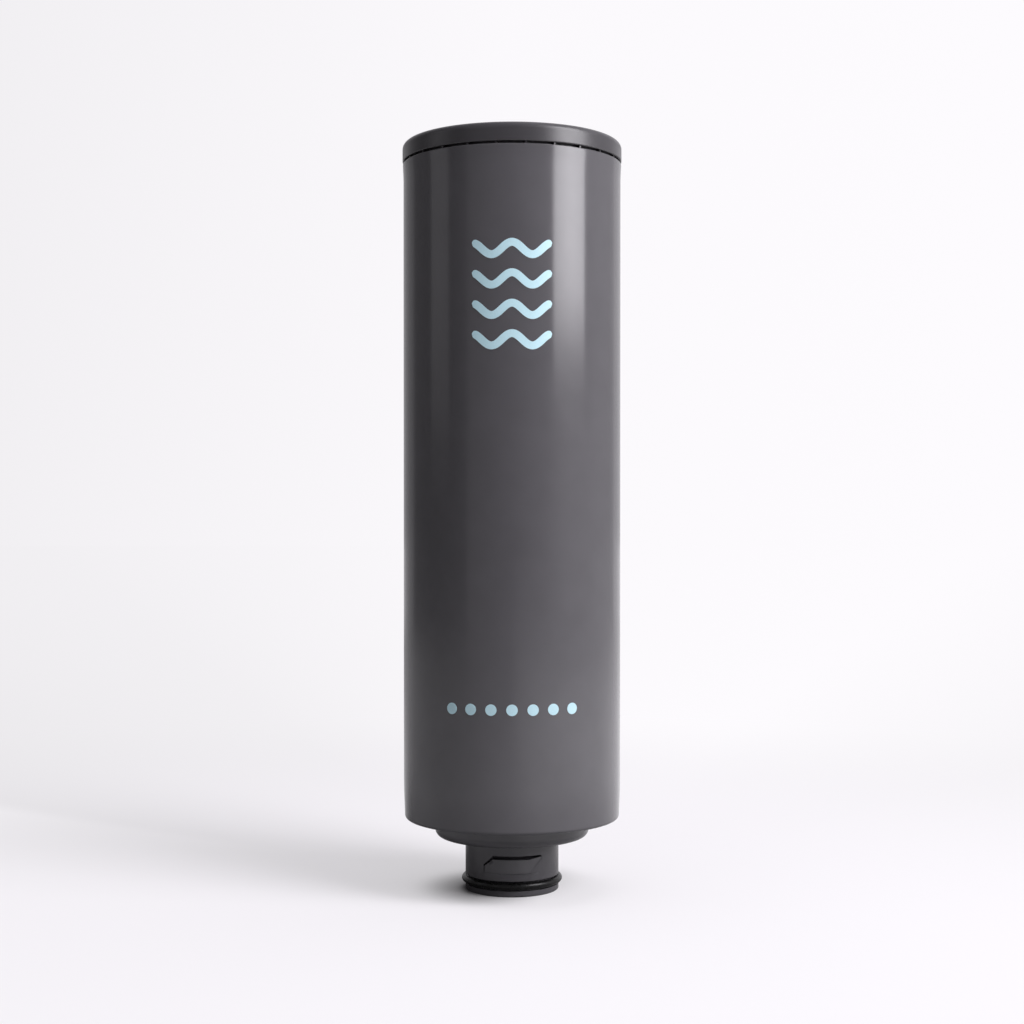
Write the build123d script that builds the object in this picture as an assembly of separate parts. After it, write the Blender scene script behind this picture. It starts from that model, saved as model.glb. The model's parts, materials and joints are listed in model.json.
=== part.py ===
from build123d import *
import os

# Countertop water filter cartridge, standing on its neck.
# Millimetres, +Z up, origin on the axis at the foot of the neck, front towards -Y.

# Outer form
neck_radius = 16.3
neck_length = 18.5
shoulder_radius = 26.9
shoulder_height = 6.5
body_radius = 38.0
body_height = 228.0
cap_overhang = 0.35
cap_height = 6.55
seam_gap = 0.85

# Drafts and soft edges of the outer form
body_draft = 0.15
rim_flare = 0.25
rim_flare_height = 5.0
foot_taper = 0.45
foot_taper_height = 11.0
foot_blend = 120.0
rim_blend = 60.0
neck_foot_round = 0.5
neck_root_round = 0.8
shoulder_round = 2.6
body_foot_round = 1.2
rim_round = 0.3
cap_round = 2.2

# Walls of the housing
body_wall = 3.0
floor_wall = 2.8
core_draft = 0.3
mouth_step = 1.0
mouth_depth = 8.0

# Neck: pilot rim, seal groove and bayonet pockets with their catch slots and entry scoops
pilot_height = 2.1
seal_section = 2.4
seal_groove_depth = 1.2
seal_groove_play = 1.0
seal_seat_clearance = 0.03
pocket_count = 2
pocket_foot = 8.1
pocket_height = 5.95
pocket_left = 9.75
pocket_right = 10.3
pocket_lead_in = 3.3
pocket_lead_out = 4.6
pocket_tip = 0.6
pocket_foot_depth = 0.12
pocket_lip_depth = 0.4
pocket_floor_shift = 0.25
catch_height = 1.35
catch_depth = 3.0
catch_lean = 0.7
catch_undercut = 0.7
catch_lead_tip = 0.7
scoop_depth = 0.55
scoop_radius = 25.0
scoop_shift = 1.2

# Water ports inside the neck
neck_wall = 3.1
port_depth = 12.0
port_chamfer = 0.6
web_thickness = 3.0
outlet_radius = 5.0
outlet_length = 8.0
receiver_step = 1.2
hub_wall = 1.8
hub_rise = 5.0
slot_count = 4
slot_land = 0.5
slot_span = 58.0

# Cap
cap_plate = 3.2
weld_clearance = 0.05
tongue_wall = 2.5
hold_down_radius = 16.0
hold_down_wall = 2.2
hold_down_reach = 13.6
cap_rib_count = 6
cap_rib_width = 1.8
cap_rib_depth = 5.0
nub_count = 24
nub_first_angle = 7.0
nub_width = 0.5
nub_inset = 0.6
nub_length = 1.5

# Filter element
water_gap = 4.7
block_bore = 9.0
wrap_thickness = 1.2
net_thickness = 0.6
net_columns = 10
net_rows = 11
net_strand = 2.0
end_cap_plate = 3.0
skirt_wall = 1.2
skirt_height = 6.0
skirt_clearance = 0.1
collar_wall = 2.0
collar_height = 6.0
collar_clearance = 0.2
fin_count = 4
fin_width = 1.6
fin_clearance = 0.3
screen_thickness = 1.2
screen_clearance = 0.1

# Spigot that carries the filtered water down into the hub
spigot_clearance = 0.1
spigot_wall = 1.3
spigot_end_gap = 0.5
spigot_seal_section = 1.8
spigot_seal_squeeze = 0.3
spigot_seal_count = 2
spigot_seal_pitch = 4.6
spigot_seal_play = 0.3

# Levels up the axis
groove_top = pilot_height + seal_section + seal_groove_play
seal_level = (pilot_height + groove_top) / 2
web_top = port_depth + web_thickness
outlet_top = port_depth + outlet_length
shoulder_floor = neck_length + floor_wall
body_foot = neck_length + shoulder_height
body_floor = body_foot + floor_wall
hub_top = body_floor + hub_rise
block_foot = hub_top + end_cap_plate
rim = body_foot + body_height
ledge = rim - mouth_depth
cap_foot = rim + seam_gap
cap_top = cap_foot + cap_height
cap_underside = cap_top - cap_plate
hold_down_foot = cap_underside - hold_down_reach
block_top = hold_down_foot - end_cap_plate
spigot_foot = outlet_top + spigot_end_gap

# Radii that follow from the fits
cap_radius = body_radius + cap_overhang
bore_radius = body_radius - body_wall
mouth_radius = bore_radius + mouth_step
tongue_radius = mouth_radius - weld_clearance
shoulder_bore = shoulder_radius - body_wall
seal_groove_radius = neck_radius - seal_groove_depth
port_radius = seal_groove_radius - neck_wall
receiver_radius = outlet_radius + receiver_step
hub_radius = receiver_radius + hub_wall
net_radius = bore_radius - water_gap
wrap_radius = net_radius - net_thickness
block_radius = wrap_radius - wrap_thickness
skirt_bore = net_radius + skirt_clearance
skirt_radius = skirt_bore + skirt_wall
collar_radius = block_bore - collar_clearance
collar_bore = collar_radius - collar_wall
spigot_radius = receiver_radius - spigot_clearance
squeezed_section = spigot_seal_section - spigot_seal_squeeze
squeezed_width = spigot_seal_section**2 / squeezed_section
spigot_groove_radius = receiver_radius - squeezed_section
spigot_bore = spigot_groove_radius - spigot_wall


def turned(*corners):
    """Solid turned about the axis from a closed outline of (radius, level) corners, some with a round."""
    outline = FilletPolyline(
        *[corner[:2] for corner in corners],
        radius=[corner[2] if len(corner) > 2 else 0 for corner in corners],
        close=True,
    )
    return revolve(Plane.XZ * make_face(outline), Axis.Z)


def tube(outer, inner, foot, top):
    """Plain tube between two levels."""
    return turned((inner, foot), (outer, foot), (outer, top), (inner, top))


def rod(radius, foot, top):
    """Plain cylinder between two levels."""
    return turned((0, foot), (radius, foot), (radius, top), (0, top))


def ring_of(count, piece, first_angle=0.0):
    """Copies of a piece spread evenly round the axis."""
    return [Rot(0, 0, first_angle + 360 / count * i) * piece for i in range(count)]


def housing_outside():
    """Neck, shoulder and drafted body as one turned form, with the seal groove in the neck."""
    return turned(
        (0, 0),
        (neck_radius, 0, neck_foot_round),
        (neck_radius, pilot_height),
        (seal_groove_radius, pilot_height),
        (seal_groove_radius, groove_top),
        (neck_radius, groove_top),
        (neck_radius, neck_length, neck_root_round),
        (shoulder_radius, neck_length, shoulder_round),
        (shoulder_radius, body_foot),
        (body_radius - body_draft - foot_taper, body_foot, body_foot_round),
        (body_radius - body_draft, body_foot + foot_taper_height, foot_blend),
        (body_radius, rim - rim_flare_height, rim_blend),
        (body_radius + rim_flare, rim, rim_round),
        (0, rim),
    )


def housing_cavity():
    """Wet space above the web: passage, shoulder, body bore and the step that takes the cap."""
    return turned(
        (0, web_top),
        (port_radius, web_top),
        (port_radius, shoulder_floor),
        (shoulder_bore, shoulder_floor),
        (shoulder_bore, body_floor),
        (bore_radius - core_draft, body_floor),
        (bore_radius, ledge),
        (mouth_radius, ledge),
        (mouth_radius, cap_top),
        (0, cap_top),
    )


def neck_port():
    """Lower bore of the neck, open at the foot with a chamfered mouth."""
    return turned(
        (0, -port_chamfer),
        (port_radius + 2 * port_chamfer, -port_chamfer),
        (port_radius, port_chamfer),
        (port_radius, port_depth),
        (0, port_depth),
    )


def hub_bores():
    """Outlet bore for the base's nozzle and the wider receiver for the element's spigot."""
    return turned(
        (0, port_depth - web_thickness),
        (outlet_radius, port_depth - web_thickness),
        (outlet_radius, outlet_top),
        (receiver_radius, outlet_top),
        (receiver_radius, hub_top - port_chamfer),
        (receiver_radius + port_chamfer, hub_top),
        (receiver_radius + port_chamfer, hub_top + web_thickness),
        (0, hub_top + web_thickness),
    )


def inlet_slots():
    """Kidney slots through the web between the hub and the neck wall."""
    middle = (hub_radius + port_radius) / 2
    slot_width = port_radius - hub_radius - 2 * slot_land
    arc = CenterArc((0, 0), middle, -slot_span / 2, slot_span)
    slot = extrude(SlotArc(arc, slot_width), amount=3 * web_thickness)
    return ring_of(slot_count, Pos(0, 0, port_depth - web_thickness) * slot, 180 / slot_count)


def front_prism(*corners):
    """Prism from the axis out through the front of the neck, with an outline of (x, level) corners."""
    return extrude(Plane.XZ * make_face(Polyline(*corners, close=True)), amount=2 * neck_radius)


def pocket_recess(ledge_level):
    """Shallow part of a pocket, whose floor ramps out to the pocket's foot and to its closed end."""
    outline = front_prism(
        (-pocket_left, pocket_foot),
        (-pocket_left, ledge_level - pocket_lead_in),
        (pocket_lead_in - pocket_left, ledge_level),
        (pocket_right - pocket_tip, ledge_level),
        (pocket_right, ledge_level - pocket_tip),
        (pocket_right, pocket_foot + pocket_lead_out),
        (pocket_right - pocket_lead_out, pocket_foot),
    )
    floor = turned(
        (0, pocket_foot - pocket_tip),
        (neck_radius - pocket_foot_depth, pocket_foot - pocket_tip),
        (neck_radius - pocket_foot_depth, pocket_foot),
        (neck_radius - pocket_lip_depth, ledge_level),
        (neck_radius - pocket_lip_depth, ledge_level + pocket_tip),
        (0, ledge_level + pocket_tip),
    )
    return outline - Pos(pocket_floor_shift, 0, 0) * floor


def catch_slot(ledge_level):
    """Undercut slot under a pocket's ledge that the base's lug drops into, with a narrow lead down its slope."""
    lip = ledge_level - catch_height
    left = pocket_lead_in - pocket_left
    narrowing = pocket_right - pocket_lead_out
    root = neck_radius - catch_depth
    groove = turned(
        (root, lip - catch_undercut),
        (neck_radius - pocket_lip_depth, lip),
        (neck_radius + pocket_tip, lip),
        (neck_radius + pocket_tip, ledge_level),
        (root + catch_lean, ledge_level),
    )
    outline = front_prism(
        (left, ledge_level),
        (pocket_right - pocket_tip, ledge_level),
        (pocket_right, ledge_level - pocket_tip),
        (narrowing, lip),
        (narrowing, lip - catch_undercut),
        (left, lip - catch_undercut),
    )
    lead = front_prism(
        (-pocket_left, ledge_level - pocket_lead_in),
        (left, ledge_level),
        (left, lip),
        (-pocket_left, ledge_level - pocket_lead_in - catch_lead_tip),
    )
    core = turned(
        (0, pocket_foot),
        (root, pocket_foot),
        (root + catch_lean, ledge_level),
        (root + catch_lean, ledge_level + pocket_tip),
        (0, ledge_level + pocket_tip),
    )
    return groove & outline, lead - core


def entry_scoop():
    """Hollow below a pocket's foot where the lug comes in, on a wider round than the neck so that it runs out."""
    band = front_prism(
        (-neck_radius, groove_top),
        (neck_radius, groove_top),
        (neck_radius, pocket_foot),
        (-neck_radius, pocket_foot),
    )
    bed = turned(
        (0, groove_top - pocket_tip),
        (scoop_radius + scoop_depth, groove_top - pocket_tip),
        (scoop_radius + scoop_depth, groove_top),
        (scoop_radius, pocket_foot),
        (scoop_radius, pocket_foot + pocket_tip),
        (0, pocket_foot + pocket_tip),
    )
    return band - Pos(-scoop_shift, scoop_radius + scoop_depth - neck_radius, 0) * bed


def bayonet_pocket():
    """Front pocket of the neck: a ramped recess, a catch slot along its top and slope, and a scoop below."""
    ledge_level = pocket_foot + pocket_height
    slot, lead = catch_slot(ledge_level)
    return [pocket_recess(ledge_level), slot, lead, entry_scoop()]


def housing():
    """Moulded shell: body, shoulder and neck in one piece, with the web and hub inside the neck."""
    shell = housing_outside() - housing_cavity() - neck_port()
    shell += rod(hub_radius, port_depth, hub_top)
    shell -= hub_bores()
    shell -= inlet_slots()
    for cut in bayonet_pocket():
        shell -= ring_of(pocket_count, cut)
    return shell


def cap_nub():
    """Spacer on the cap's underside that keeps the seam open."""
    height = seam_gap + rim_round
    nub = Box(nub_width, nub_length, height, align=(Align.CENTER, Align.MIN, Align.MIN))
    return Pos(0, nub_inset - cap_radius, rim) * nub


def cap_rib():
    """Stiffening rib from the hold-down ring to the tongue."""
    inner = hold_down_radius - hold_down_wall / 2
    outer = tongue_radius - tongue_wall / 2
    rib = Box(
        outer - inner,
        cap_rib_width,
        cap_rib_depth,
        align=(Align.MIN, Align.CENTER, Align.MAX),
    )
    return Pos(inner, 0, cap_underside) * rib


def top_cap():
    """Welded lid: rounded plate, tongue that seats on the housing's step, hold-down ring and ribs."""
    lid = turned(
        (0, cap_underside),
        (hold_down_radius - hold_down_wall, cap_underside),
        (hold_down_radius - hold_down_wall, hold_down_foot),
        (hold_down_radius, hold_down_foot),
        (hold_down_radius, cap_underside),
        (tongue_radius - tongue_wall, cap_underside),
        (tongue_radius - tongue_wall, ledge),
        (tongue_radius, ledge),
        (tongue_radius, cap_foot),
        (cap_radius, cap_foot, rim_round),
        (cap_radius, cap_top, cap_round),
        (0, cap_top),
    )
    lid += ring_of(cap_rib_count, cap_rib())
    return lid + ring_of(nub_count, cap_nub(), nub_first_angle)


def neck_o_ring():
    """Round seal, relaxed in the neck's groove and standing proud of the neck."""
    centre = seal_groove_radius + seal_seat_clearance + seal_section / 2
    return revolve(Plane.XZ * Pos(centre, seal_level) * Circle(seal_section / 2), Axis.Z)


def spigot_seal_levels():
    """Levels of the spigot's seals, spread about the middle of its fit in the receiver."""
    middle = (spigot_foot + hub_top) / 2
    first = middle - spigot_seal_pitch * (spigot_seal_count - 1) / 2
    return [first + spigot_seal_pitch * i for i in range(spigot_seal_count)]


def spigot_o_ring(level):
    """Seal squeezed to an oval between the spigot's groove and the receiver."""
    section = Ellipse(squeezed_section / 2 - seal_seat_clearance, squeezed_width / 2)
    centre = (spigot_groove_radius + receiver_radius) / 2
    return revolve(Plane.XZ * Pos(centre, level) * section, Axis.Z)


def lower_end_cap():
    """Dish under the block, with a collar in its bore and a grooved spigot down into the hub."""
    dish = turned(
        (spigot_bore, spigot_foot),
        (spigot_radius, spigot_foot),
        (spigot_radius, hub_top),
        (skirt_radius, hub_top),
        (skirt_radius, block_foot + skirt_height),
        (skirt_bore, block_foot + skirt_height),
        (skirt_bore, block_foot),
        (collar_radius, block_foot),
        (collar_radius, block_foot + collar_height),
        (collar_bore, block_foot + collar_height),
        (collar_bore, block_foot),
        (spigot_bore, block_foot),
    )
    half = squeezed_width / 2 + spigot_seal_play / 2
    for level in spigot_seal_levels():
        dish -= tube(receiver_radius, spigot_groove_radius, level - half, level + half)
    return dish


def centring_fin():
    """Fin that keeps the top of the element in the middle of the housing."""
    reach = bore_radius - core_draft - fin_clearance
    inner = skirt_radius - skirt_wall / 2
    fin = Box(
        reach - inner,
        fin_width,
        skirt_height,
        align=(Align.MIN, Align.CENTER, Align.MAX),
    )
    return Pos(inner, 0, block_top) * fin


def upper_end_cap():
    """Closed dish over the block, with a plug in its bore and fins towards the housing wall."""
    dish = turned(
        (0, block_top - collar_height),
        (collar_radius, block_top - collar_height),
        (collar_radius, block_top),
        (skirt_bore, block_top),
        (skirt_bore, block_top - skirt_height),
        (skirt_radius, block_top - skirt_height),
        (skirt_radius, hold_down_foot),
        (0, hold_down_foot),
    )
    return dish + ring_of(fin_count, centring_fin())


def carbon_block():
    """Pressed carbon tube that the water crosses from outside to bore."""
    return tube(block_radius, block_bore, block_foot, block_top)


def prefilter_wrap():
    """Nonwoven sleeve round the block that holds back sediment."""
    return tube(wrap_radius, block_radius, block_foot, block_top)


def outer_net():
    """Net sleeve over the wrap, with staggered diamond windows between crossing strands."""
    sleeve = tube(net_radius, wrap_radius, block_foot, block_top)
    row_pitch = (block_top - block_foot) / (net_rows + 1)
    column_pitch = 360 / net_columns
    half_width = Vector(net_radius, 0).rotate(Axis.Z, column_pitch / 2).Y - net_strand / 2
    half_height = row_pitch - net_strand / 2
    diamond = Polyline(
        (half_width, 0),
        (0, half_height),
        (-half_width, 0),
        (0, -half_height),
        close=True,
    )
    window = extrude(Plane.YZ * make_face(diamond), amount=net_radius + net_strand)
    windows = []
    for row in range(net_rows):
        level = block_foot + row_pitch * (row + 1)
        windows += ring_of(net_columns, Pos(0, 0, level) * window, column_pitch / 2 * (row % 2))
    return sleeve - windows


def outlet_screen():
    """Porous disc over the spigot's bore that holds back carbon fines."""
    return rod(collar_bore - screen_clearance, block_foot, block_foot + screen_thickness)


pieces = {
    "housing": housing(),
    "top_cap": top_cap(),
    "neck_o_ring": neck_o_ring(),
    "lower_end_cap": lower_end_cap(),
    "upper_end_cap": upper_end_cap(),
    "carbon_block": carbon_block(),
    "prefilter_wrap": prefilter_wrap(),
    "outer_net": outer_net(),
    "outlet_screen": outlet_screen(),
}
for number, level in enumerate(spigot_seal_levels(), start=1):
    pieces[f"spigot_o_ring_{number}"] = spigot_o_ring(level)

os.makedirs("parts", exist_ok=True)
for node, piece in pieces.items():
    export_step(piece, f"parts/{node}.step")
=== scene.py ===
"""Looks of a countertop water filter cartridge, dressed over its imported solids.

Metres, +Z up, front towards -Y.
"""

import json
import math

import bmesh
import bpy
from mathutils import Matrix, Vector


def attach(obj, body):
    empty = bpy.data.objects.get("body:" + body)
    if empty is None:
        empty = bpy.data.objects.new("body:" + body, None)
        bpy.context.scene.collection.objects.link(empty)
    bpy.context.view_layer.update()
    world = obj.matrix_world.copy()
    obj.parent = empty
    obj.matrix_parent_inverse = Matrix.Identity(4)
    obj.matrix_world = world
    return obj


MM = 0.001

# Camera, level with the middle of the body
CAMERA_DISTANCE = 0.597
CAMERA_HEIGHT = 0.1317
FIELD_OF_VIEW = math.radians(33.5)
SENSOR_WIDTH = 36.0

# Studio round the horizon: azimuth from the camera's side, radiance to the camera, radiance to the gloss
HORIZON = (
    (-180, 0.965, 0.55),
    (-163, 0.88, 0.5),
    (-127, 0.8, 0.33),
    (-124, 0.92, 0.16),
    (-49, 0.92, 0.14),
    (-46, 0.92, 0.35),
    (0, 0.92, 0.2),
    (35, 0.92, 0.45),
    (60, 0.92, 0.85),
    (100, 0.92, 0.85),
    (118, 0.92, 0.65),
    (132, 0.92, 0.55),
    (136, 0.92, 0.85),
    (163, 0.98, 0.75),
    (180, 0.965, 0.65),
)

# Even fill from all round, and the tints of the backdrop and of the light
WORLD_FILL = 0.12
BACKDROP_TINT = (1.003, 0.985, 1.012)
LIGHT_TINT = (1.0, 0.98, 1.02)

# Floor: what it bounces back, how it looks to the camera, and how the gloss mirrors it, which has painted
# shade on the left and close to the object and painted light on the right.
# A lift is light that it gives off, a fade is where it melts into the horizon, and sides are places along X.
FLOOR_SIZE = 12.0
FLOOR_ALBEDO = 0.34
FLOOR_ALBEDO_TO_CAMERA = 0.355
FLOOR_LIFT_TO_CAMERA = 0.48
FLOOR_FADE_TO_CAMERA = (0.05, 0.5)
# Painted shade and light to the gloss: the floor's matte part runs from darker on the left to lighter on the
# right
FLOOR_PAINTED_SHADE_TO_GLOSS = (0.5, 0.8)
FLOOR_PAINTED_SHADE_SIDES = (-0.35, 0.35)
FLOOR_LIFT_TO_GLOSS = ((0, 0.22), (0.45, 0), (0.5, 0), (0.56, 0.28), (1, 0.5))
FLOOR_LIFT_SIDES = (-0.6, 0.6)
FLOOR_FADE_TO_GLOSS = (0.85, 1.7)
FLOOR_FAR_TO_GLOSS = 1.28
# Painted shade to the gloss: the floor's matte part is darker close to the object, from these reaches, down
# to this share
FLOOR_PAINTED_NEAR_SHADE = (0.05, 0.22)
FLOOR_PAINTED_NEAR_SHADE_SHARE = 0.45

# Contact shade at the foot: its reach, how sheltered the floor has to be, and the side where it lies
CONTACT_REACH = 0.02
CONTACT_SHELTER = (0.4, 1.0)
CONTACT_SIDES = (0.01, -0.015)

# Soft lights: azimuths and heights of their edges, distance, radiance, height that fades out at the foot,
# share of the radiance left at the sides, and whether the gloss mirrors them
KEY_BOX = {
    "azimuths": (43, 80),
    "heights": (0.245, 1.2),
    "distance": 0.9,
    "radiance": 9.0,
    "fade": 0.085,
    "sides": 0.75,
    "mirrored": True,
}
TOP_BOX = {
    "azimuths": (36, 68),
    "heights": (0.65, 1.6),
    "distance": 0.9,
    "radiance": 13.0,
    "fade": 0.3,
    "sides": 0.8,
    "mirrored": False,
}
SIDE_BOX = {
    "azimuths": (-92, -68),
    "heights": (0.12, 0.8),
    "distance": 0.9,
    "radiance": 0.5,
    "fade": 0.2,
    "sides": 0.9,
    "mirrored": True,
}
SKY_PANEL = {"height": 1.4, "size": 1.2, "radiance": 2.2}

# Finishes: scales in waves for each metre, depths of relief in metres, shades as shares of the slot's colour
TEXTURE_MIDDLE = (0.3, 0.7)
CHARCOAL_FINISH = {"roughness": 0.15, "grain_depth": 1.2e-6}
CAP_FINISH = {"roughness": 0.3, "grain_depth": 2.5e-6}
WHITE_FINISH = {"roughness": 0.42, "grain_depth": 4e-6}
NET_FINISH = {"roughness": 0.45, "grain_depth": 6e-6}
PLASTIC_IOR = 1.5
FLOW_SCALE = 90
FLOW_SHADES = (0.96, 1.04)
HAZE_SCALE = 240
HAZE_SHARES = (0.92, 1.1)
WAVINESS_SCALE = 45
WAVINESS_DEPTH = 12e-6
GRAIN_SCALE = 2600
RUBBER_SCALE = 500
RUBBER_SHADES = (0.9, 1.25)
RUBBER_ROUGHNESS = (0.24, 0.34)
RUBBER_SPECULAR = 0.3
RUBBER_GRAIN_SCALE = 3000
RUBBER_GRAIN_DEPTH = 1.5e-6
CARBON_SCALE = 1400
CARBON_SHADES = (0.5, 1.9)
CARBON_ROUGHNESS = (0.55, 0.9)
CARBON_DEPTH = 120e-6
FIBRE_SCALE = 1600
FIBRE_STRETCH = (1.0, 1.0, 0.12)
FIBRE_SHADES = (0.88, 1.0)
FIBRE_ROUGHNESS = 0.9
FIBRE_SHEEN = 0.3
FIBRE_DEPTH = 150e-6
POROUS_SCALE = 2600
POROUS_PAINTED_PORE_SHADE = (1.0, 0.7)
POROUS_ROUGHNESS = 0.75
POROUS_DEPTH = 100e-6
INK_SCALE = 1800
INK_SHADES = (0.97, 1.03)
INK_ROUGHNESS = (0.3, 0.4)
INK_DEPTH = 2e-6

# Printed marks on the front: height of their middles, and their own sizes
PRINT_PROUD = 0.06 * MM
PRINT_SUNK = 0.12 * MM
WAVE_LEVEL = 0.2035
WAVE_COUNT = 4
WAVE_PITCH = 10.0 * MM
WAVE_SPAN = 27.0 * MM
WAVE_HEIGHT = 2.0 * MM
WAVE_CYCLES = 2
WAVE_STROKE = 2.6 * MM
WAVE_TIP_SHARE = 0.12
WAVE_STEPS = 72
DOT_LEVEL = 0.0665
DOT_COUNT = 7
DOT_PITCH = 7.0 * MM
DOT_RADIUS = 1.9 * MM
DOT_STEPS = 20

# Rings of the housing's mesh that count as its side: share of the widest radius, and digits of a height
SIDE_SHARE = 0.95
LEVEL_DIGITS = 6


def new_material(name):
    """Material with its nodes, its links, its Principled shader and the place on the piece."""
    material = bpy.data.materials.new(name)
    material.use_nodes = True
    nodes = material.node_tree.nodes
    place = nodes.new("ShaderNodeTexCoord").outputs["Object"]
    return material, nodes, material.node_tree.links, nodes["Principled BSDF"], place


def noise(nodes, links, place, scale, detail=2.0, roughness=0.5):
    """Noise texture in object space. The scale is in waves for each metre."""
    texture = nodes.new("ShaderNodeTexNoise")
    texture.inputs["Scale"].default_value = scale
    texture.inputs["Detail"].default_value = detail
    texture.inputs["Roughness"].default_value = roughness
    links.new(place, texture.inputs["Vector"])
    return texture.outputs["Fac"]


def cells(nodes, links, place, scale):
    """Outputs of a texture of grains in object space."""
    texture = nodes.new("ShaderNodeTexVoronoi")
    texture.inputs["Scale"].default_value = scale
    links.new(place, texture.inputs["Vector"])
    return texture.outputs


def map_range(nodes, links, value, start, end, smooth=False):
    """Maps a value from one span to another, held at its ends."""
    node = nodes.new("ShaderNodeMapRange")
    if smooth:
        node.interpolation_type = "SMOOTHSTEP"
    node.inputs["From Min"].default_value = start[0]
    node.inputs["From Max"].default_value = start[1]
    node.inputs["To Min"].default_value = end[0]
    node.inputs["To Max"].default_value = end[1]
    links.new(value, node.inputs["Value"])
    return node.outputs["Result"]


def combine(nodes, links, operation, first, second):
    """Math on two values, each a number or another node's output."""
    node = nodes.new("ShaderNodeMath")
    node.operation = operation
    for socket, value in zip(node.inputs, (first, second)):
        if isinstance(value, (int, float)):
            socket.default_value = value
        else:
            links.new(value, socket)
    return node.outputs["Value"]


def shaded(colour, share):
    """A colour made lighter or darker."""
    return tuple(channel * share for channel in colour)


def level_ramp(nodes, links, value, stops, shade=(1, 1, 1)):
    """Levels of one shade along a value from nought to one, from (place, level) stops."""
    ramp = nodes.new("ShaderNodeValToRGB")
    elements = ramp.color_ramp.elements
    while len(elements) < len(stops):
        elements.new(0.5)
    for element, (place, level) in zip(elements, stops):
        element.position = place
        element.color = (*shaded(shade, level), 1)
    links.new(value, ramp.inputs["Fac"])
    return ramp.outputs["Color"]


def tint(nodes, links, value, colour, shades):
    """Colour between two of its shades, by a texture's middle range."""
    return level_ramp(nodes, links, value, tuple(zip(TEXTURE_MIDDLE, shades)), colour)


def spread(nodes, links, value, ends):
    """Maps a texture's middle range to a low and a high value."""
    return map_range(nodes, links, value, TEXTURE_MIDDLE, ends)


def bump(nodes, links, height, depth, normal=None):
    """Bump of a given depth in metres, on top of another if one is given."""
    node = nodes.new("ShaderNodeBump")
    node.inputs["Distance"].default_value = depth
    links.new(height, node.inputs["Height"])
    if normal is not None:
        links.new(normal, node.inputs["Normal"])
    return node.outputs["Normal"]


def moulded_plastic(name, colour, roughness, grain_depth):
    """Moulded plastic: faint flow mottling, uneven gloss, slow waviness and a fine mould grain."""
    material, nodes, links, shader, place = new_material(name)
    flow = noise(nodes, links, place, FLOW_SCALE, detail=3)
    links.new(tint(nodes, links, flow, colour, FLOW_SHADES), shader.inputs["Base Color"])
    haze = noise(nodes, links, place, HAZE_SCALE, detail=4)
    ends = [roughness * share for share in HAZE_SHARES]
    links.new(spread(nodes, links, haze, ends), shader.inputs["Roughness"])
    waves = noise(nodes, links, place, WAVINESS_SCALE, detail=1)
    grain = noise(nodes, links, place, GRAIN_SCALE)
    wavy = bump(nodes, links, waves, WAVINESS_DEPTH)
    links.new(bump(nodes, links, grain, grain_depth, wavy), shader.inputs["Normal"])
    shader.inputs["IOR"].default_value = PLASTIC_IOR
    return material


def seal_rubber(name, colour):
    """Seal rubber: near black with a soft sheen and a slightly dusty bloom."""
    material, nodes, links, shader, place = new_material(name)
    bloom = noise(nodes, links, place, RUBBER_SCALE, detail=4)
    links.new(tint(nodes, links, bloom, colour, RUBBER_SHADES), shader.inputs["Base Color"])
    links.new(spread(nodes, links, bloom, RUBBER_ROUGHNESS), shader.inputs["Roughness"])
    grain = noise(nodes, links, place, RUBBER_GRAIN_SCALE)
    links.new(bump(nodes, links, grain, RUBBER_GRAIN_DEPTH), shader.inputs["Normal"])
    shader.inputs["Specular IOR Level"].default_value = RUBBER_SPECULAR
    return material


def pressed_carbon(name, colour):
    """Pressed carbon: coarse dark grains with small glinting facets and pores."""
    material, nodes, links, shader, place = new_material(name)
    grains = cells(nodes, links, place, CARBON_SCALE)
    links.new(tint(nodes, links, grains["Color"], colour, CARBON_SHADES), shader.inputs["Base Color"])
    links.new(spread(nodes, links, grains["Color"], CARBON_ROUGHNESS), shader.inputs["Roughness"])
    links.new(bump(nodes, links, grains["Distance"], CARBON_DEPTH), shader.inputs["Normal"])
    return material


def nonwoven(name, colour):
    """Bonded nonwoven: stretched fibres crossing over a soft white mat."""
    material, nodes, links, shader, place = new_material(name)
    stretch = nodes.new("ShaderNodeMapping")
    stretch.inputs["Scale"].default_value = FIBRE_STRETCH
    links.new(place, stretch.inputs["Vector"])
    fibres = noise(nodes, links, stretch.outputs["Vector"], FIBRE_SCALE, detail=5, roughness=0.7)
    links.new(tint(nodes, links, fibres, colour, FIBRE_SHADES), shader.inputs["Base Color"])
    links.new(bump(nodes, links, fibres, FIBRE_DEPTH), shader.inputs["Normal"])
    shader.inputs["Roughness"].default_value = FIBRE_ROUGHNESS
    shader.inputs["Sheen Weight"].default_value = FIBRE_SHEEN
    return material


def porous_plastic(name, colour):
    """Sintered plastic: fused round grains, painted darker between them as shade in the open pores."""
    material, nodes, links, shader, place = new_material(name)
    grains = cells(nodes, links, place, POROUS_SCALE)
    # Painted shade: darker between the grains, where the pores are
    links.new(tint(nodes, links, grains["Distance"], colour, POROUS_PAINTED_PORE_SHADE), shader.inputs["Base Color"])
    links.new(bump(nodes, links, grains["Distance"], POROUS_DEPTH), shader.inputs["Normal"])
    shader.inputs["Roughness"].default_value = POROUS_ROUGHNESS
    return material


def pad_print(name, colour):
    """Pad printed ink: an even satin film with a very light speckle."""
    material, nodes, links, shader, place = new_material(name)
    speckle = noise(nodes, links, place, INK_SCALE, detail=3)
    links.new(tint(nodes, links, speckle, colour, INK_SHADES), shader.inputs["Base Color"])
    links.new(spread(nodes, links, speckle, INK_ROUGHNESS), shader.inputs["Roughness"])
    links.new(bump(nodes, links, speckle, INK_DEPTH), shader.inputs["Normal"])
    return material


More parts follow.
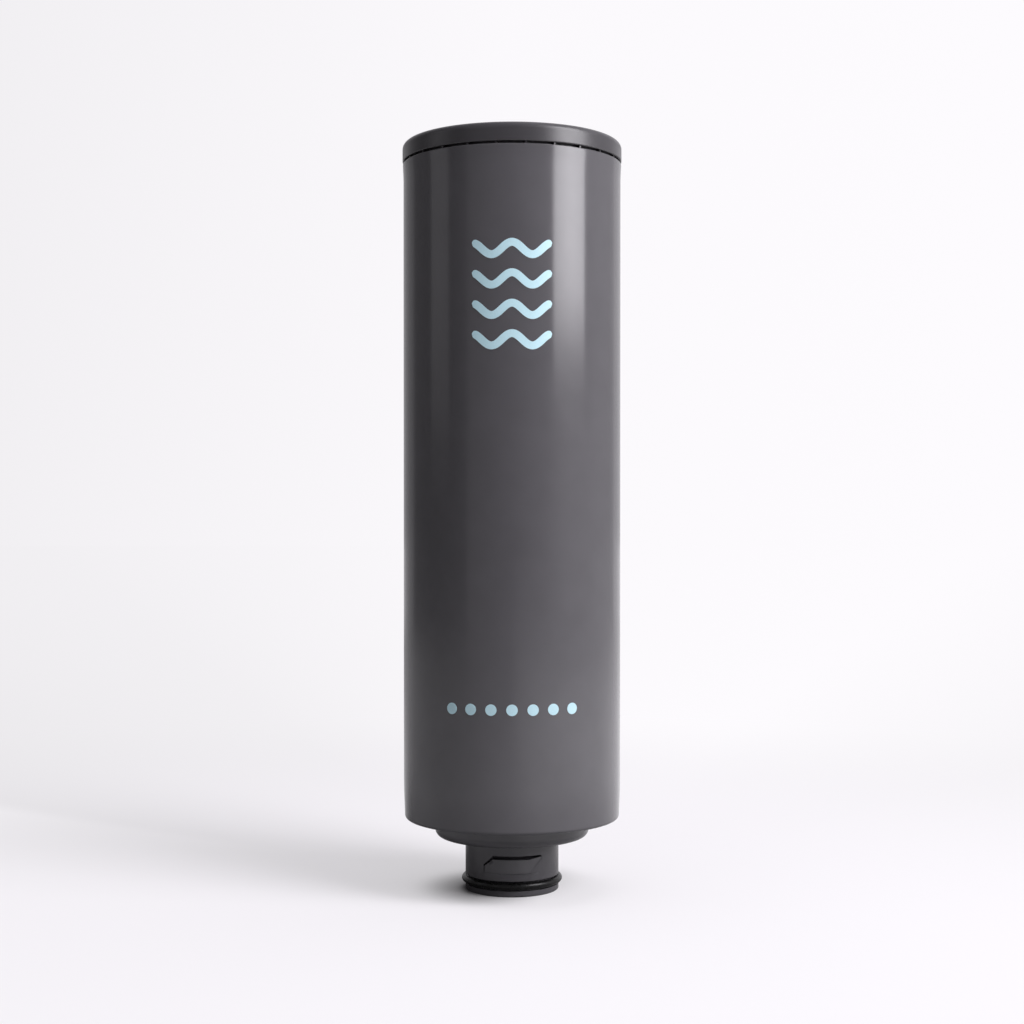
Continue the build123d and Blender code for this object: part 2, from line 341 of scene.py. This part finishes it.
def dress_nodes(nodes, colours):
    """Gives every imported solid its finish, in the colours of the record's slots."""
    rubber = seal_rubber("black_rubber", colours["black_rubber"])
    white = moulded_plastic("white_plastic", colours["white_plastic"], **WHITE_FINISH)
    finishes = {
        "housing": moulded_plastic("charcoal_plastic", colours["charcoal_plastic"], **CHARCOAL_FINISH),
        "top_cap": moulded_plastic("charcoal_cap", colours["charcoal_cap"], **CAP_FINISH),
        "neck_o_ring": rubber,
        "spigot_o_ring_1": rubber,
        "spigot_o_ring_2": rubber,
        "lower_end_cap": white,
        "upper_end_cap": white,
        "carbon_block": pressed_carbon("pressed_carbon", colours["pressed_carbon"]),
        "prefilter_wrap": nonwoven("nonwoven", colours["nonwoven"]),
        "outer_net": moulded_plastic("net_plastic", colours["net_plastic"], **NET_FINISH),
        "outlet_screen": porous_plastic("porous_plastic", colours["porous_plastic"]),
    }
    for name, finish in finishes.items():
        nodes[name].material_slots[0].material = finish


def side_profile(housing):
    """Height and outer radius of each ring of vertices along the housing's side, from the foot up."""
    outer = {}
    for vertex in housing.data.vertices:
        level = round(vertex.co.z, LEVEL_DIGITS)
        outer[level] = max(outer.get(level, 0.0), math.hypot(vertex.co.x, vertex.co.y))
    widest = max(outer.values())
    return sorted((level, radius) for level, radius in outer.items() if radius > SIDE_SHARE * widest)


def radius_at(profile, level):
    """Outer radius of the side at a height, between two rings."""
    for (low, low_radius), (high, high_radius) in zip(profile, profile[1:]):
        if low <= level < high:
            return low_radius + (level - low) / (high - low) * (high_radius - low_radius)
    raise ValueError("no side at this height")


def printed(name, outlines, profile, finish):
    """Ink film on the body from flat outlines of (along the girth, height), as closed thin shells."""
    mesh = bpy.data.meshes.new(name)
    build = bmesh.new()
    for outline in outlines:
        layers = []
        for lift in (PRINT_PROUD, -PRINT_SUNK):
            layer = []
            for along, level in outline:
                radius = radius_at(profile, level)
                angle = along / radius
                out = radius + lift
                layer.append(build.verts.new((out * math.sin(angle), -out * math.cos(angle), level)))
            layers.append(layer)
        front, back = layers
        count = len(front)
        for i in range(count // 2 - 1):
            mirror = count - 1 - i
            build.faces.new((front[i], front[i + 1], front[mirror - 1], front[mirror]))
            build.faces.new((back[mirror], back[mirror - 1], back[i + 1], back[i]))
        for i in range(count):
            following = (i + 1) % count
            build.faces.new((front[following], front[i], back[i], back[following]))
    bmesh.ops.recalc_face_normals(build, faces=build.faces)
    build.to_mesh(mesh)
    build.free()
    piece = bpy.data.objects.new(name, mesh)
    bpy.context.scene.collection.objects.link(piece)
    mesh.materials.append(finish)
    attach(piece, "root")


def wave_outline(level):
    """Both edges of one wave stroke with round ends, up one side and back along the other."""
    half_stroke = WAVE_STROKE / 2
    turn = 2 * math.pi * WAVE_CYCLES / WAVE_SPAN
    upper = []
    lower = []
    for i in range(WAVE_STEPS + 1):
        along = (i / WAVE_STEPS - 0.5) * WAVE_SPAN
        height = WAVE_HEIGHT * math.cos(along * turn)
        slope = -WAVE_HEIGHT * turn * math.sin(along * turn)
        end = max(0.0, half_stroke - (WAVE_SPAN / 2 - abs(along)))
        half = math.sqrt(max(half_stroke**2 - end**2, (WAVE_TIP_SHARE * half_stroke) ** 2))
        run = math.hypot(1, slope)
        upper.append((along - slope / run * half, level + height + half / run))
        lower.append((along + slope / run * half, level + height - half / run))
    return upper + lower[::-1]


def dot_outline(middle, level):
    """Round dot, as an outline whose two halves mirror each other."""
    upper = []
    lower = []
    for i in range(DOT_STEPS):
        angle = math.pi * (1 - (i + 0.5) / DOT_STEPS)
        along = middle + DOT_RADIUS * math.cos(angle)
        rise = DOT_RADIUS * math.sin(angle)
        upper.append((along, level + rise))
        lower.append((along, level - rise))
    return upper + lower[::-1]


def centred(count, pitch):
    """Places of evenly spaced marks, with their middle at nought."""
    return [(i - (count - 1) / 2) * pitch for i in range(count)]


def print_marks(housing, colour):
    """Plain marks of pale ink: a stack of waves above and a row of dots below."""
    ink = pad_print("pale_print", colour)
    profile = side_profile(housing)
    waves = [wave_outline(WAVE_LEVEL + rise) for rise in centred(WAVE_COUNT, WAVE_PITCH)]
    dots = [dot_outline(place, DOT_LEVEL) for place in centred(DOT_COUNT, DOT_PITCH)]
    printed("print_waves", waves, profile, ink)
    printed("print_dots", dots, profile, ink)


def direction(azimuth):
    """Level direction at an azimuth in degrees from the camera's side, towards +X."""
    angle = math.radians(azimuth)
    return Vector((math.sin(angle), -math.cos(angle), 0))


def softbox(name, azimuths, heights, distance, radiance, fade, sides, mirrored):
    """Upright soft light that faces the object, brightest along its middle and fading out at its foot."""
    left, right = azimuths
    low, high = heights
    inward = -direction((left + right) / 2)
    width = 2 * distance * math.tan(math.radians(right - left) / 2)
    lamp = bpy.data.lights.new(name, "AREA")
    lamp.shape = "RECTANGLE"
    lamp.size = width
    lamp.size_y = high - low
    lamp.energy = radiance * math.pi * width * (high - low)
    lamp.color = LIGHT_TINT
    lamp.use_nodes = True
    nodes = lamp.node_tree.nodes
    links = lamp.node_tree.links
    axes = nodes.new("ShaderNodeSeparateXYZ")
    links.new(nodes.new("ShaderNodeNewGeometry").outputs["Parametric"], axes.inputs["Vector"])
    foot = map_range(nodes, links, axes.outputs["Y"], (0, fade / (high - low)), (0, 1), smooth=True)
    across = level_ramp(nodes, links, axes.outputs["X"], ((0, sides), (0.5, 1), (1, sides)))
    links.new(combine(nodes, links, "MULTIPLY", foot, across), nodes["Emission"].inputs["Strength"])
    holder = bpy.data.objects.new(name, lamp)
    holder.location = Vector((0, 0, (low + high) / 2)) - inward * distance
    holder.rotation_euler = inward.to_track_quat("-Z", "Y").to_euler()
    holder.visible_glossy = mirrored
    bpy.context.scene.collection.objects.link(holder)


def sky_panel(height, size, radiance):
    """Level soft light over the object, facing down. The gloss doesn't mirror it."""
    lamp = bpy.data.lights.new("sky_panel", "AREA")
    lamp.size = size
    lamp.energy = radiance * math.pi * size**2
    lamp.color = LIGHT_TINT
    holder = bpy.data.objects.new("sky_panel", lamp)
    holder.location = (0, 0, height)
    holder.visible_glossy = False
    bpy.context.scene.collection.objects.link(holder)


def horizon(nodes, links, vector):
    """What the camera and the gloss see of the studio along a vector, and whether one of them looks."""
    axes = nodes.new("ShaderNodeSeparateXYZ")
    links.new(vector, axes.inputs["Vector"])
    facing = combine(nodes, links, "MULTIPLY", axes.outputs["Y"], -1)
    azimuth = combine(nodes, links, "ARCTAN2", axes.outputs["X"], facing)
    turn = map_range(nodes, links, azimuth, (-math.pi, math.pi), (0, 1))
    to_camera = [((degrees + 180) / 360, level) for degrees, level, _ in HORIZON]
    to_gloss = [((degrees + 180) / 360, level) for degrees, _, level in HORIZON]
    path = nodes.new("ShaderNodeLightPath").outputs
    seen = nodes.new("ShaderNodeMix")
    seen.data_type = "RGBA"
    links.new(path["Is Camera Ray"], seen.inputs["Factor"])
    links.new(level_ramp(nodes, links, turn, to_gloss, LIGHT_TINT), seen.inputs["A"])
    links.new(level_ramp(nodes, links, turn, to_camera, BACKDROP_TINT), seen.inputs["B"])
    mirrored = combine(nodes, links, "MAXIMUM", path["Is Glossy Ray"], path["Is Transmission Ray"])
    looked_at = combine(nodes, links, "MAXIMUM", path["Is Camera Ray"], mirrored)
    return seen.outputs["Result"], looked_at


def surroundings():
    """World: the studio's horizon to the camera and the gloss, and an even fill to the rest."""
    world = bpy.data.worlds.new("studio")
    bpy.context.scene.world = world
    world.use_nodes = True
    nodes = world.node_tree.nodes
    links = world.node_tree.links
    seen, looked_at = horizon(nodes, links, nodes.new("ShaderNodeTexCoord").outputs["Generated"])
    light = nodes.new("ShaderNodeMix")
    light.data_type = "RGBA"
    light.inputs["A"].default_value = (*shaded(LIGHT_TINT, WORLD_FILL), 1)
    links.new(looked_at, light.inputs["Factor"])
    links.new(seen, light.inputs["B"])
    links.new(light.outputs["Result"], nodes["Background"].inputs["Color"])


def contact(nodes, links, across):
    """Share of the lift left close to the object, on the side away from the key light."""
    shelter = nodes.new("ShaderNodeAmbientOcclusion")
    shelter.inputs["Distance"].default_value = CONTACT_REACH
    share = nodes.new("ShaderNodeMix")
    links.new(map_range(nodes, links, across, CONTACT_SIDES, (0, 1)), share.inputs["Factor"])
    share.inputs["A"].default_value = 1
    links.new(map_range(nodes, links, shelter.outputs["AO"], CONTACT_SHELTER, (0, 1)), share.inputs["B"])
    return share.outputs["Result"]


def floor_near(nodes, links, place, reach, to_camera):
    """Floor round the object: matte with a lift, as the camera sees it or as the gloss mirrors it. To the
    gloss the matte part has painted shade, darker on the left and close to the object, and painted light on
    the right.
    """
    axes = nodes.new("ShaderNodeSeparateXYZ")
    links.new(place, axes.inputs["Vector"])
    across = axes.outputs["X"]
    # Painted shade and light to the gloss: darker on the left, lighter on the right
    side = map_range(nodes, links, across, FLOOR_PAINTED_SHADE_SIDES, FLOOR_PAINTED_SHADE_TO_GLOSS)
    # Painted shade to the gloss: darker close to the object
    close = map_range(nodes, links, reach, FLOOR_PAINTED_NEAR_SHADE, (FLOOR_PAINTED_NEAR_SHADE_SHARE, 1))
    pigment_and_painted_shade = nodes.new("ShaderNodeMix")
    pigment_and_painted_shade.data_type = "RGBA"
    links.new(to_camera, pigment_and_painted_shade.inputs["Factor"])
    links.new(combine(nodes, links, "MULTIPLY", side, close), pigment_and_painted_shade.inputs["A"])
    pigment_and_painted_shade.inputs["B"].default_value = (*shaded(BACKDROP_TINT, FLOOR_ALBEDO_TO_CAMERA), 1)
    matte = nodes.new("ShaderNodeBsdfDiffuse")
    links.new(pigment_and_painted_shade.outputs["Result"], matte.inputs["Color"])
    sideways = map_range(nodes, links, across, FLOOR_LIFT_SIDES, (0, 1))
    open_sky = contact(nodes, links, across)
    strength = nodes.new("ShaderNodeMix")
    links.new(to_camera, strength.inputs["Factor"])
    links.new(level_ramp(nodes, links, sideways, FLOOR_LIFT_TO_GLOSS), strength.inputs["A"])
    links.new(combine(nodes, links, "MULTIPLY", open_sky, FLOOR_LIFT_TO_CAMERA), strength.inputs["B"])
    lift = nodes.new("ShaderNodeEmission")
    lift.inputs["Color"].default_value = (*BACKDROP_TINT, 1)
    links.new(strength.outputs["Result"], lift.inputs["Strength"])
    both = nodes.new("ShaderNodeAddShader")
    links.new(matte.outputs["BSDF"], both.inputs[0])
    links.new(lift.outputs["Emission"], both.inputs[1])
    return both.outputs["Shader"]


def floor_material():
    """Pale floor that keeps the object's shadow and melts into the horizon further out."""
    material = bpy.data.materials.new("floor")
    material.use_nodes = True
    nodes = material.node_tree.nodes
    links = material.node_tree.links
    nodes.remove(nodes["Principled BSDF"])
    place = nodes.new("ShaderNodeTexCoord").outputs["Object"]
    length = nodes.new("ShaderNodeVectorMath")
    length.operation = "LENGTH"
    links.new(place, length.inputs[0])
    reach = length.outputs["Value"]
    to_camera = nodes.new("ShaderNodeLightPath").outputs["Is Camera Ray"]
    seen, looked_at = horizon(nodes, links, place)
    far = nodes.new("ShaderNodeEmission")
    links.new(seen, far.inputs["Color"])
    links.new(map_range(nodes, links, to_camera, (0, 1), (FLOOR_FAR_TO_GLOSS, 1)), far.inputs["Strength"])
    melt = nodes.new("ShaderNodeMix")
    links.new(to_camera, melt.inputs["Factor"])
    links.new(map_range(nodes, links, reach, FLOOR_FADE_TO_GLOSS, (0, 1), smooth=True), melt.inputs["A"])
    links.new(map_range(nodes, links, reach, FLOOR_FADE_TO_CAMERA, (0, 1), smooth=True), melt.inputs["B"])
    shown = nodes.new("ShaderNodeMixShader")
    links.new(melt.outputs["Result"], shown.inputs["Fac"])
    links.new(floor_near(nodes, links, place, reach, to_camera), shown.inputs[1])
    links.new(far.outputs["Emission"], shown.inputs[2])
    bounce = nodes.new("ShaderNodeBsdfDiffuse")
    bounce.inputs["Color"].default_value = (FLOOR_ALBEDO, FLOOR_ALBEDO, FLOOR_ALBEDO, 1)
    final = nodes.new("ShaderNodeMixShader")
    links.new(looked_at, final.inputs["Fac"])
    links.new(bounce.outputs["BSDF"], final.inputs[1])
    links.new(shown.outputs["Shader"], final.inputs[2])
    links.new(final.outputs["Shader"], nodes["Material Output"].inputs["Surface"])
    return material


def floor():
    """Level floor under the object."""
    mesh = bpy.data.meshes.new("floor")
    build = bmesh.new()
    bmesh.ops.create_grid(build, x_segments=1, y_segments=1, size=FLOOR_SIZE / 2)
    build.to_mesh(mesh)
    build.free()
    mesh.materials.append(floor_material())
    plane = bpy.data.objects.new("floor", mesh)
    bpy.context.scene.collection.objects.link(plane)


def camera():
    """Level camera in front of the object."""
    data = bpy.data.cameras.new("camera")
    data.sensor_width = SENSOR_WIDTH
    data.lens = SENSOR_WIDTH / 2 / math.tan(FIELD_OF_VIEW / 2)
    holder = bpy.data.objects.new("camera", data)
    holder.location = (0, -CAMERA_DISTANCE, CAMERA_HEIGHT)
    holder.rotation_euler = (math.pi / 2, 0, 0)
    bpy.context.scene.collection.objects.link(holder)
    bpy.context.scene.camera = holder


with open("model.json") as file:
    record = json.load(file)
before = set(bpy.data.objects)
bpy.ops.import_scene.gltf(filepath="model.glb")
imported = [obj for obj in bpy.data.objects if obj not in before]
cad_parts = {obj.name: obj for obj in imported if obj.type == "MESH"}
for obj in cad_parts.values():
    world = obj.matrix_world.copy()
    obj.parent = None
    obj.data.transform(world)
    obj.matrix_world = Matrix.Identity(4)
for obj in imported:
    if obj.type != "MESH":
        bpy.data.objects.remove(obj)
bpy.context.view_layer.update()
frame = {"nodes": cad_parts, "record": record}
slot_colours = {slot["slot"]: slot["base_color"] for slot in frame["record"]["materials"]}
dress_nodes(frame["nodes"], slot_colours)
print_marks(frame["nodes"]["housing"], slot_colours["pale_print"])
floor()
surroundings()
softbox("key_softbox", **KEY_BOX)
softbox("top_softbox", **TOP_BOX)
softbox("side_softbox", **SIDE_BOX)
sky_panel(**SKY_PANEL)
camera()
bpy.context.scene.view_settings.view_transform = "Standard"
